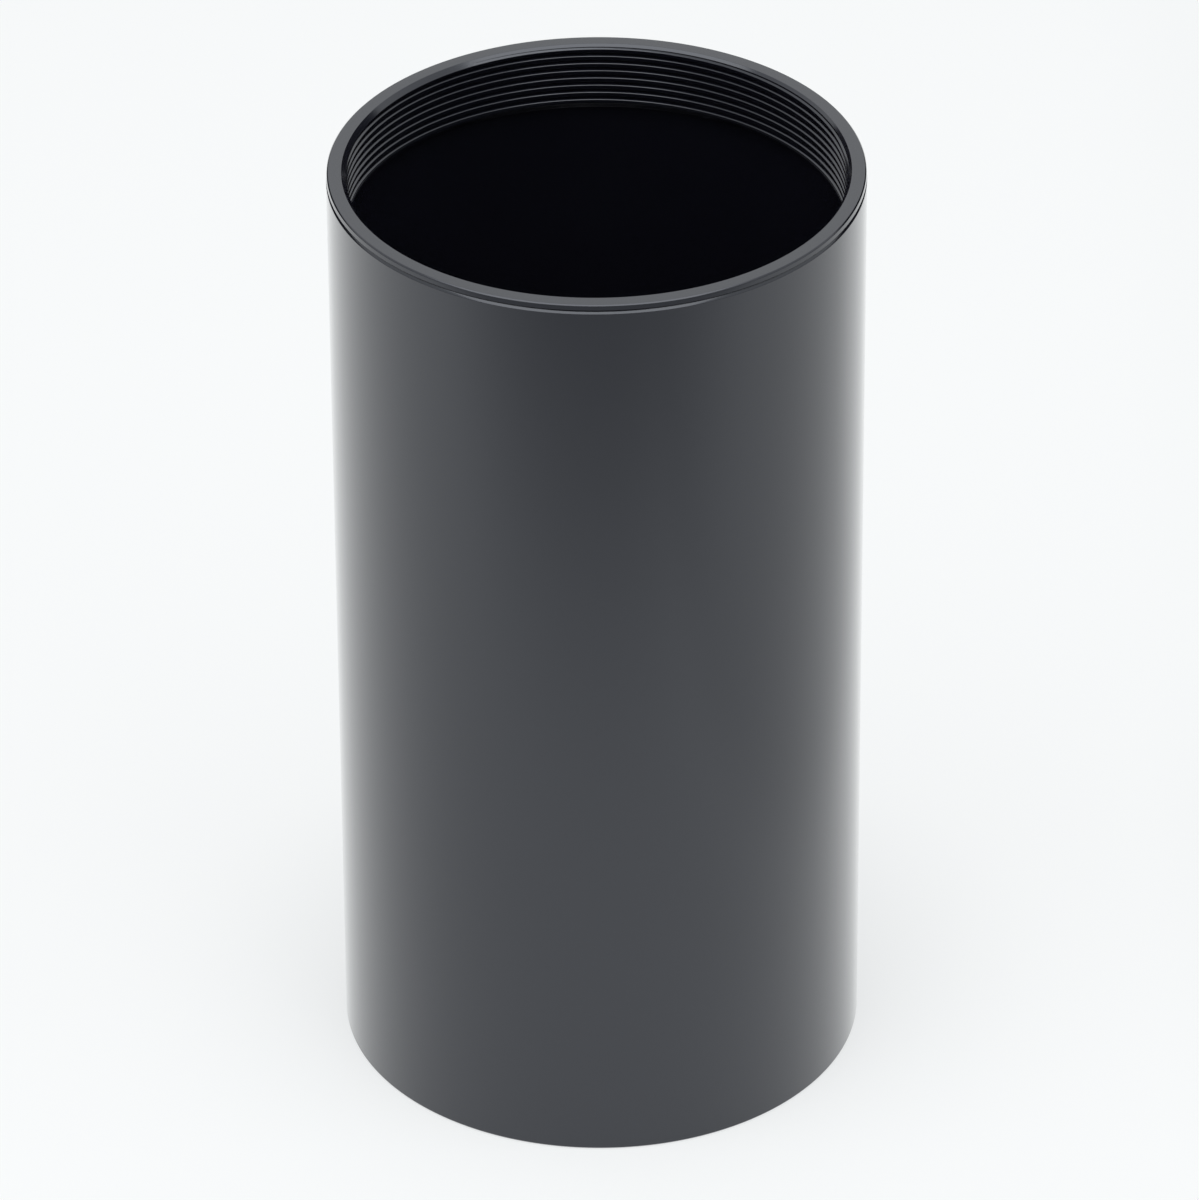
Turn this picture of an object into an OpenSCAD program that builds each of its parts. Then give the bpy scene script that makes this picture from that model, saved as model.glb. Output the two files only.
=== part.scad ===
// Lens tube, standing on end: one length of aluminium tube, turned and black anodised.
// Both ends have a land inside for a female thread, and behind each land the bore opens
// out, so the threading tool runs clear. A fine V groove rings the outside just below
// the upper rim, and the lip above it is turned a little smaller than the tube.
// Millimetres, Z along the optical axis.

/* [Tube] */
// Outside diameter
tube_d = 80; // [40:0.5:160]
// Overall length
tube_l = 150; // [50:1:400]
// Wall between the two threaded lands
wall = 1.7; // [1.2:0.1:6]
// Bevel that breaks the outer edge of each end
edge_bevel = 0.2; // [0.05:0.05:0.6]

/* [Threaded lands] */
// Flat width of the upper end face, from the edge bevel to the thread's full diameter
rim_w = 1.95; // [1.3:0.05:2.8]
// Pitch of the 60 degree thread
thread_pitch = 1.25; // [0.5:0.05:2]
// Depth of each land from its end face
land_l = 9.95; // [4:0.05:16]
// Length of the taper that opens from the land to the main bore
relief_l = 1.3; // [0.5:0.1:5]

/* [Rim groove and lip] */
// Distance from the upper end face to the groove
groove_drop = 0.8; // [0.7:0.1:10]
// Width of the groove where it opens on the outside
groove_w = 0.7; // [0.3:0.1:2]
// How much smaller in radius the lip above the groove is than the tube
lip_drop = 0.1; // [0:0.05:0.3]

/* [Surface] */
// Sides on a full turn, for the preview and the mesh only
facets = 180; // [48:12:360]

/* [Hidden] */

$fn = facets;
anodised_black = [0.13, 0.13, 0.14];

// An ISO internal thread is 5/8 of the height of its 60 degree triangle deep.
thread_depth = 5 / 8 * thread_pitch * sin(60);
// A 90 degree groove is half as deep as it is wide.
groove_depth = groove_w / 2;

tube_r = tube_d / 2;
bore_r = tube_r - wall;
lip_r = tube_r - lip_drop;
thread_major_r = lip_r - edge_bevel - rim_w;
land_r = thread_major_r - thread_depth;

// Inner profile of one end as [radius, distance in from the end face]: the 45 degree
// lead-in, the land that the thread is cut in, and the taper out to the main bore.
end_profile = [
    [thread_major_r, 0],
    [land_r, thread_depth],
    [land_r, land_l],
    [bore_r, land_l + relief_l],
];

// Outer profile from the bottom up: bevel, plain wall, V groove, lip, bevel. The lip
// cuts the top off the groove's 45 degree flank.
outer_profile = [
    [tube_r - edge_bevel, 0],
    [tube_r, edge_bevel],
    [tube_r, tube_l - groove_drop - groove_w],
    [tube_r - groove_depth, tube_l - groove_drop - groove_w / 2],
    [lip_r, tube_l - groove_drop - lip_drop],
    [lip_r, tube_l - edge_bevel],
    [lip_r - edge_bevel, tube_l],
];

module tube() {
    upper_end = [for (p = end_profile) [p[0], tube_l - p[1]]];
    lower_end = [for (i = [len(end_profile) - 1 : -1 : 0]) end_profile[i]];
    color(anodised_black)
        rotate_extrude()
            polygon(concat(outer_profile, upper_end, lower_end));
}

tube();
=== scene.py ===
import math

import bpy
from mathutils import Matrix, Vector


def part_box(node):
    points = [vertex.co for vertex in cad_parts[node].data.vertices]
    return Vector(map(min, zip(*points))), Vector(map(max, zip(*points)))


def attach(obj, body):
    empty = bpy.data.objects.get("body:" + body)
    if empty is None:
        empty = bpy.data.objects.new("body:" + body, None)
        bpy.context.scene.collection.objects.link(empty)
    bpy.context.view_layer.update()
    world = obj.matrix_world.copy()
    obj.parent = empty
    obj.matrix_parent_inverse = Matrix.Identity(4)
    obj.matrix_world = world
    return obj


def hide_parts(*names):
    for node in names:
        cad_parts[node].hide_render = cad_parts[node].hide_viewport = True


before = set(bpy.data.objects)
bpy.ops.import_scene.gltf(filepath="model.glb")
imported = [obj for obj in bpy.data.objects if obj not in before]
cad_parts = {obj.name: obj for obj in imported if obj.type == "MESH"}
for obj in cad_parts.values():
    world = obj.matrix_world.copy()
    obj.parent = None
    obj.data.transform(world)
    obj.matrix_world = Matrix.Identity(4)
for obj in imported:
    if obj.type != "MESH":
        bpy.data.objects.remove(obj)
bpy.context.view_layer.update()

# ---------------------------------------------------------------------------
# Camera. A long lens about 1.35 m away, looking down at about 33 degrees, so
# the rim, the thread and the whole barrel are in view.

bpy.ops.object.select_all(action="DESELECT")
bpy.ops.object.camera_add(location=(0.00005, -1.13740, 0.80169))
camera = bpy.context.object
camera.name = "camera"
camera.rotation_mode = "ZYX"
camera.rotation_euler = (math.radians(57.3943), 0, math.radians(-0.3510))
camera.data.lens = 265.83
camera.data.sensor_width = 36
camera.data.clip_start, camera.data.clip_end = 0.05, 20
bpy.context.scene.camera = camera

# ---------------------------------------------------------------------------
# Tube. One length of black anodised aluminium tube, turned all over: bevelled
# ends, a land with a thread cut in it inside each end, a taper from the land to
# the wider bore, and a V groove outside, under a lip that leans in a little.

mm = 0.001
tube_low, tube_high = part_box("tube")
tube_r = tube_high.x
tube_l = tube_high.z
wall = 1.7 * mm
edge_bevel = 0.2 * mm
rim_w = 1.95 * mm
land_l = 9.95 * mm
relief_l = 1.3 * mm
groove_drop = 0.8 * mm
groove_w = 0.7 * mm
lip_drop = 0.1 * mm
lip_foot_drop = 0.04 * mm
pitch = 1.25 * mm
full_thread_depth = 5 / 8 * pitch * math.sin(math.radians(60))
lead_in_clearance = 0.38 * mm
boring_allowance = 0.04 * mm
crest_half = 0.275 * mm
crest_round = 0.04 * mm
corner_steps = 3
sides = 240
weld = 1e-6

lip_r = tube_r - lip_drop
bore_r = tube_r - wall
thread_r = lip_r - edge_bevel - rim_w
# The land is bored for a full metric thread. The tap cuts a shallower one, and runs
# out in the lead-in, which opens wider than the thread's root.
crest_r = thread_r - full_thread_depth
root_r = thread_r - lead_in_clearance
# A little metal is left for the tap to cut on the crests too.
bored_r = crest_r - boring_allowance


def turn_on_lathe(name, section):
    """Draws the section's first corner as a ring and extrudes it from corner to corner."""
    bpy.ops.object.select_all(action="DESELECT")
    r, z = section[0]
    bpy.ops.mesh.primitive_circle_add(vertices=sides, radius=r, location=(0, 0, z))
    turned = bpy.context.object
    turned.name = turned.data.name = name
    bpy.ops.object.transform_apply(location=True, rotation=False, scale=False)
    bpy.ops.object.mode_set(mode="EDIT")
    bpy.ops.mesh.select_all(action="SELECT")
    for next_r, next_z in section[1:] + section[:1]:
        bpy.ops.mesh.extrude_edges_move(TRANSFORM_OT_translate={"value": (0, 0, next_z - z)})
        bpy.ops.transform.resize(value=(next_r / r, next_r / r, 1), center_override=(0, 0, next_z))
        r, z = next_r, next_z
    bpy.ops.mesh.select_all(action="SELECT")
    bpy.ops.mesh.remove_doubles(threshold=weld)
    bpy.ops.mesh.normals_make_consistent(inside=False)
    bpy.ops.object.mode_set(mode="OBJECT")
    return turned


# Each end's inside, as (radius, depth): lead-in, land, and taper out to the bore.
end_section = [
    (thread_r, 0), (bored_r, thread_r - bored_r),
    (bored_r, land_l), (bore_r, land_l + relief_l),
]
outside = [
    (tube_r - edge_bevel, 0), (tube_r, edge_bevel),
    (tube_r, tube_l - groove_drop - groove_w),
    (tube_r - groove_w / 2, tube_l - groove_drop - groove_w / 2),
    (tube_r - lip_foot_drop, tube_l - groove_drop - lip_foot_drop),
    (lip_r, tube_l - edge_bevel), (lip_r - edge_bevel, tube_l),
]
inside = [(r, tube_l - z) for r, z in end_section] + end_section[::-1]
tube = turn_on_lathe("lens_tube", outside + inside)
softened = tube.modifiers.new("edges_broken_with_emery", "BEVEL")
softened.width = 0.03 * mm
softened.segments = 2
softened.limit_method = "ANGLE"
softened.angle_limit = math.radians(25)
bpy.ops.object.modifier_apply(modifier=softened.name)


def thread_section():
    """One pitch of the cut thread as (radius, height), from crest middle to crest middle."""
    flank = math.radians(30)
    turn = math.pi / 2 - flank
    root_half = pitch / 2 - crest_half - (root_r - crest_r) * math.tan(flank)
    # The crest's corner is rounded where it meets the flank.
    reach = crest_round * math.tan(turn / 2)
    lower = [(crest_r, 0), (crest_r, crest_half - reach)]
    centre_r, centre_z = crest_r + crest_round, crest_half - reach
    for step in range(1, corner_steps + 1):
        a = turn * step / corner_steps
        lower.append((centre_r - crest_round * math.cos(a), centre_z + crest_round * math.sin(a)))
    lower.append((root_r, pitch / 2 - root_half))
    return lower + [(r, pitch - z) for r, z in reversed(lower)]


def cut_tap(name, turns, crest_height):
    """A solid tap: the section carried up the helix, with both ends closed."""
    section = thread_section()
    bpy.ops.object.select_all(action="DESELECT")
    bpy.ops.mesh.primitive_plane_add(size=pitch, location=(0, 0, 0))
    tap = bpy.context.object
    tap.name = tap.data.name = name
    bpy.ops.object.mode_set(mode="EDIT")
    bpy.ops.mesh.select_all(action="SELECT")
    bpy.ops.mesh.merge(type="CENTER")
    r, z = section[0]
    bpy.ops.transform.translate(value=(r, 0, crest_height))
    for next_r, next_z in section[1:]:
        bpy.ops.mesh.extrude_vertices_move(
            TRANSFORM_OT_translate={"value": (next_r - r, 0, next_z - z)})
        r, z = next_r, next_z
    bpy.ops.object.mode_set(mode="OBJECT")
    helix = tap.modifiers.new("helix", "SCREW")
    helix.angle = 2 * math.pi
    helix.screw_offset = pitch
    helix.iterations = turns
    helix.steps = helix.render_steps = sides
    helix.use_merge_vertices = False
    bpy.ops.object.modifier_apply(modifier=helix.name)
    bpy.ops.object.mode_set(mode="EDIT")
    bpy.ops.mesh.select_all(action="SELECT")
    bpy.ops.mesh.remove_doubles(threshold=weld)
    bpy.ops.mesh.select_all(action="DESELECT")
    bpy.ops.mesh.select_non_manifold(extend=False, use_wire=False, use_multi_face=False,
                                     use_non_contiguous=False, use_verts=False)
    bpy.ops.object.mode_set(mode="OBJECT")
    # Each open end is one ring of edges: it is drawn in to its middle and closed there.
    middle = crest_height + turns * pitch / 2
    rims = [e.index for e in tap.data.edges if e.select]
    for above in (True, False):
        bpy.ops.object.mode_set(mode="EDIT")
        bpy.ops.mesh.select_all(action="DESELECT")
        bpy.ops.object.mode_set(mode="OBJECT")
        for i in rims:
            edge = tap.data.edges[i]
            height = sum(tap.data.vertices[v].co.z for v in edge.vertices) / 2
            edge.select = (height > middle) == above
        bpy.ops.object.mode_set(mode="EDIT")
        bpy.ops.mesh.select_mode(type="EDGE")
        bpy.ops.mesh.extrude_edges_move(TRANSFORM_OT_translate={"value": (0, 0, 0)})
        bpy.ops.mesh.merge(type="CENTER")
        bpy.ops.object.mode_set(mode="OBJECT")
    bpy.ops.object.mode_set(mode="EDIT")
    bpy.ops.mesh.select_all(action="SELECT")
    bpy.ops.mesh.normals_make_consistent(inside=False)
    bpy.ops.mesh.select_mode(type="VERT")
    bpy.ops.object.mode_set(mode="OBJECT")
    return tap


# The helix rises anticlockwise seen from above, which is a right-hand thread. A tap is
# one pitch longer than its turns. From the ridge whose height on the right of the tube
# is given, some of its pitches go deeper, and the others run out past the end face.
ridge_at_right = -2.495 * mm
tap_turns = 9
pitches_deeper = 6
pitches_outward = tap_turns + 1 - pitches_deeper
upper_tap = cut_tap("upper_tap", tap_turns, tube_l + ridge_at_right - pitches_deeper * pitch)
lower_tap = cut_tap("lower_tap", tap_turns, -ridge_at_right - pitches_outward * pitch)
for tap in (upper_tap, lower_tap):
    bpy.ops.object.select_all(action="DESELECT")
    tube.select_set(True)
    bpy.context.view_layer.objects.active = tube
    cut = tube.modifiers.new("thread", "BOOLEAN")
    cut.operation = "DIFFERENCE"
    cut.solver = "MANIFOLD"
    cut.object = tap
    bpy.ops.object.modifier_apply(modifier=cut.name)
    bpy.data.objects.remove(tap)

bpy.ops.object.mode_set(mode="EDIT")
bpy.ops.mesh.select_all(action="SELECT")
bpy.ops.mesh.remove_doubles(threshold=weld)
bpy.ops.object.mode_set(mode="OBJECT")
bpy.ops.object.shade_smooth_by_angle(angle=math.radians(20))
# The long walls keep their true normals right up to the broken edges.
flats = tube.modifiers.new("true_flats", "WEIGHTED_NORMAL")
flats.mode = "FACE_AREA"
flats.weight = 90
flats.keep_sharp = True
bpy.ops.object.modifier_apply(modifier=flats.name)


class Wire:
    """A shader socket that can be used in sums like a number."""

    def __init__(self, tree, socket):
        self.tree, self.socket = tree, socket

    def node(self, kind, settings=(), sockets=(), give=0):
        made = self.tree.nodes.new(kind)
        for name, value in dict(settings).items():
            setattr(made, name, value)
        for name, value in dict(sockets).items():
            if isinstance(value, Wire):
                self.tree.links.new(value.socket, made.inputs[name])
            else:
                made.inputs[name].default_value = value
        return Wire(self.tree, made.outputs[give])

    def maths(self, how, a, b):
        return self.node("ShaderNodeMath", {"operation": how}, {0: a, 1: b})

    def into(self, shader, socket):
        self.tree.links.new(self.socket, shader.inputs[socket])

    def __add__(self, other):
        return self.maths("ADD", self, other)

    def __radd__(self, other):
        return self.maths("ADD", other, self)

    def __sub__(self, other):
        return self.maths("SUBTRACT", self, other)

    def __rsub__(self, other):
        return self.maths("SUBTRACT", other, self)

    def __mul__(self, other):
        return self.maths("MULTIPLY", self, other)

    def __rmul__(self, other):
        return self.maths("MULTIPLY", other, self)

    def __gt__(self, other):
        return self.maths("GREATER_THAN", self, other)

    def __lt__(self, other):
        return self.maths("LESS_THAN", self, other)


def new_finish(name):
    """An empty material: its Principled shader, and a wire on Object coordinates."""
    finish = bpy.data.materials.new(name)
    finish.use_nodes = True
    tree = finish.node_tree
    place = tree.nodes.new("ShaderNodeTexCoord")
    return finish, tree.nodes["Principled BSDF"], Wire(tree, place.outputs["Object"])


# Black anodising over a fine turned finish: the dye is nearly black, and the clear
# oxide skin over it carries the whole sheen.
anodised, skin, place = new_finish("anodised_aluminium")
skin.inputs["Metallic"].default_value = 0
skin.inputs["IOR"].default_value = 1.44
skin.inputs["Specular Tint"].default_value = (0.74, 0.83, 1.0, 1)
skin.inputs["Coat Weight"].default_value = 1
skin.inputs["Coat IOR"].default_value = 1.48
skin.inputs["Coat Roughness"].default_value = 0.13
dye_deep = (0.0050, 0.0051, 0.0085, 1)
dye_thin = (0.0076, 0.0078, 0.0122, 1)
dust_colour = (0.16, 0.16, 0.16, 1)

# Turning lines run round the tube, so the noise is squeezed along the axis.
lines = place.node("ShaderNodeMapping", {}, {"Vector": place, "Scale": (30, 30, 9000)})
turning = place.node("ShaderNodeTexNoise", {},
                     {"Vector": lines, "Scale": 1.0, "Detail": 3.0, "Roughness": 0.6})
grain = place.node("ShaderNodeTexNoise", {},
                   {"Vector": place, "Scale": 9000.0, "Detail": 2.0, "Roughness": 0.5})
cloud = place.node("ShaderNodeTexNoise", {},
                   {"Vector": place, "Scale": 45.0, "Detail": 3.0, "Roughness": 0.5})
# Dust: small bright specks. The surface is divided into cells, and few have a speck.
dust_cells = {"Vector": place, "Scale": 260.0}
empty_share = 0.985
speck_reach = 0.045
from_middle = place.node("ShaderNodeTexVoronoi", {"feature": "F1"}, dust_cells)
cell_colour = place.node("ShaderNodeTexVoronoi", {"feature": "F1"}, dust_cells, give="Color")
drawn = place.node("ShaderNodeSeparateColor", {}, {"Color": cell_colour})
dust = (drawn > empty_share) * (from_middle < speck_reach)
dyed = place.node("ShaderNodeMix", {"data_type": "RGBA"},
                  {"Factor": cloud, "A": dye_deep, "B": dye_thin}, give="Result")
dusty = place.node("ShaderNodeMix", {"data_type": "RGBA"},
                   {"Factor": dust, "A": dyed, "B": dust_colour}, give="Result")
sheen = 0.17
sheen_drift = 0.03
dust_matt = 0.3
satin = (sheen + sheen_drift * (cloud - 0.5) + sheen_drift * (turning - 0.5)
         + dust_matt * dust)
lines_share = 0.6
rough_skin = lines_share * turning + (1 - lines_share) * grain
relief = place.node("ShaderNodeBump", {},
                    {"Strength": 0.05, "Distance": 0.01 * mm, "Height": rough_skin})
dusty.into(skin, "Base Color")
satin.into(skin, "Roughness")
relief.into(skin, "Normal")

tube.data.materials.clear()
tube.data.materials.append(anodised)
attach(tube, "root")
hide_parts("tube")

# ---------------------------------------------------------------------------
# Floor. A wide sheet of plain white paper, which the tube stands on. Its colour is
# painted with shade: it falls away to grey on the near side, and a little on the right.

floor_gap = 0.02 * mm
bpy.ops.object.select_all(action="DESELECT")
bpy.ops.mesh.primitive_plane_add(size=12, location=(0, 0, -floor_gap))
floor = bpy.context.object
floor.name = floor.data.name = "floor"
paper, paper_face, spot = new_finish("white_paper")
paper_face.inputs["Roughness"].default_value = 1.0
paper_face.inputs["Specular IOR Level"].default_value = 0.0
paper_white = (0.947, 0.961, 0.965, 1)
# Painted shade: the grey that the paper's colour is mixed towards away from the light.
painted_shade_grey = (0.42, 0.43, 0.44, 1)
across = spot.node("ShaderNodeSeparateXYZ", {}, {"Vector": spot}, give="X")
towards = spot.node("ShaderNodeSeparateXYZ", {}, {"Vector": spot}, give="Y")
from_axis = spot.node("ShaderNodeVectorMath", {"operation": "LENGTH"}, {0: spot}, give="Value")


def rise(way, start, end, shape="SMOOTHSTEP"):
    """0 before the start of the way, 1 past its end, and a rise between them."""
    return way.node("ShaderNodeMapRange", {"interpolation_type": shape},
                    {"Value": way, "From Min": start, "From Max": end})


# The right side is painted a little darker, but beyond a slanting line it mostly recovers.
right_loss = 0.18
recovered = 0.75
slant = 0.55
near_side = rise(towards, -0.34, -0.11)
right_side = rise(across, 0.085, 0.13)
far_side = rise(towards - slant * across, -0.02, 0.05)
painted_lit_share = near_side * (1 - right_loss * right_side * (1 - recovered * far_side))
# The paper's colour, with the painted shade mixed in; the glow below shows it too.
sheet = spot.node("ShaderNodeMix", {"data_type": "RGBA"},
                  {"Factor": painted_lit_share, "A": painted_shade_grey, "B": paper_white}, give="Result")
# The paper glows with its painted colour for camera, glossy and transmission rays, so
# seen straight or in the metal it is nearly even past its own shadow, but it glows less
# close round the tube, and not at all inside it.
seen = spot.node("ShaderNodeLightPath", give="Is Camera Ray")
mirrored = spot.node("ShaderNodeLightPath", give="Is Glossy Ray")
through = spot.node("ShaderNodeLightPath", give="Is Transmission Ray")
full_glow = 0.77
share_at_tube = 0.78
open_air = rise(from_axis, tube_r - 1.5 * mm, tube_r - 0.5 * mm, shape="LINEAR")
clear = rise(from_axis, tube_r, 2 * tube_r)
glow = full_glow * open_air * (share_at_tube + (1 - share_at_tube) * clear)
even = spot.node("ShaderNodeEmission", {}, {"Color": sheet, "Strength": 1.0})
face = Wire(paper.node_tree, paper_face.outputs["BSDF"])
shown = spot.node("ShaderNodeMixShader", {},
                  {0: glow * (seen + mirrored + through), 1: face, 2: even})
sheet.into(paper_face, "Base Color")
shown.into(paper.node_tree.nodes["Material Output"], "Surface")
floor.data.materials.append(paper)

# ---------------------------------------------------------------------------
# Light. A soft panel high on the near side and an even pale room. Black cloth low
# all round draws the dark lines along the side bevels. A drape behind the camera
# darkens the groove, and a card far on the right shades the left of the lead-in.

cloth_h = 0.95
bpy.ops.object.select_all(action="DESELECT")
bpy.ops.mesh.primitive_cylinder_add(vertices=64, radius=2.4, depth=cloth_h,
                                    end_fill_type="NOTHING", location=(0, 0, cloth_h / 2))
cloth = bpy.context.object
cloth.name = cloth.data.name = "black_cloth"
cloth.visible_camera = False
black, black_face, _ = new_finish("black_cloth")
black_face.inputs["Base Color"].default_value = (0.02, 0.02, 0.02, 1)
black_face.inputs["Roughness"].default_value = 1.0
black_face.inputs["Specular IOR Level"].default_value = 0.0
cloth.data.materials.append(black)

bpy.ops.object.select_all(action="DESELECT")
bpy.ops.mesh.primitive_plane_add(size=1.6, location=(0, -2.1, 1.4),
                                 rotation=(math.radians(-90), 0, 0))
drape = bpy.context.object
drape.name = drape.data.name = "black_drape"
drape.visible_camera = False
drape.data.materials.append(black)

bpy.ops.object.select_all(action="DESELECT")
bpy.ops.mesh.primitive_plane_add(size=0.8, location=(1.81, 1.41, 0.9),
                                 rotation=(math.radians(90), 0, math.radians(-52)))
card = bpy.context.object
card.name = card.data.name = "black_card"
card.visible_camera = False
card.data.materials.append(black)

bpy.ops.object.select_all(action="DESELECT")
bpy.ops.object.light_add(type="AREA", location=(-0.08, -0.45, 0.95))
panel = bpy.context.object
panel.name = "overhead_panel"
panel.data.shape = "RECTANGLE"
panel.data.size, panel.data.size_y = 1.45, 0.85
panel.data.energy = 6.8
room = bpy.data.worlds.new("room")
room.use_nodes = True
air = room.node_tree.nodes["Background"]
air.inputs["Color"].default_value = (0.93, 0.95, 0.96, 1)
air.inputs["Strength"].default_value = 0.88
bpy.context.scene.world = room
bpy.context.scene.view_settings.view_transform = "Standard"
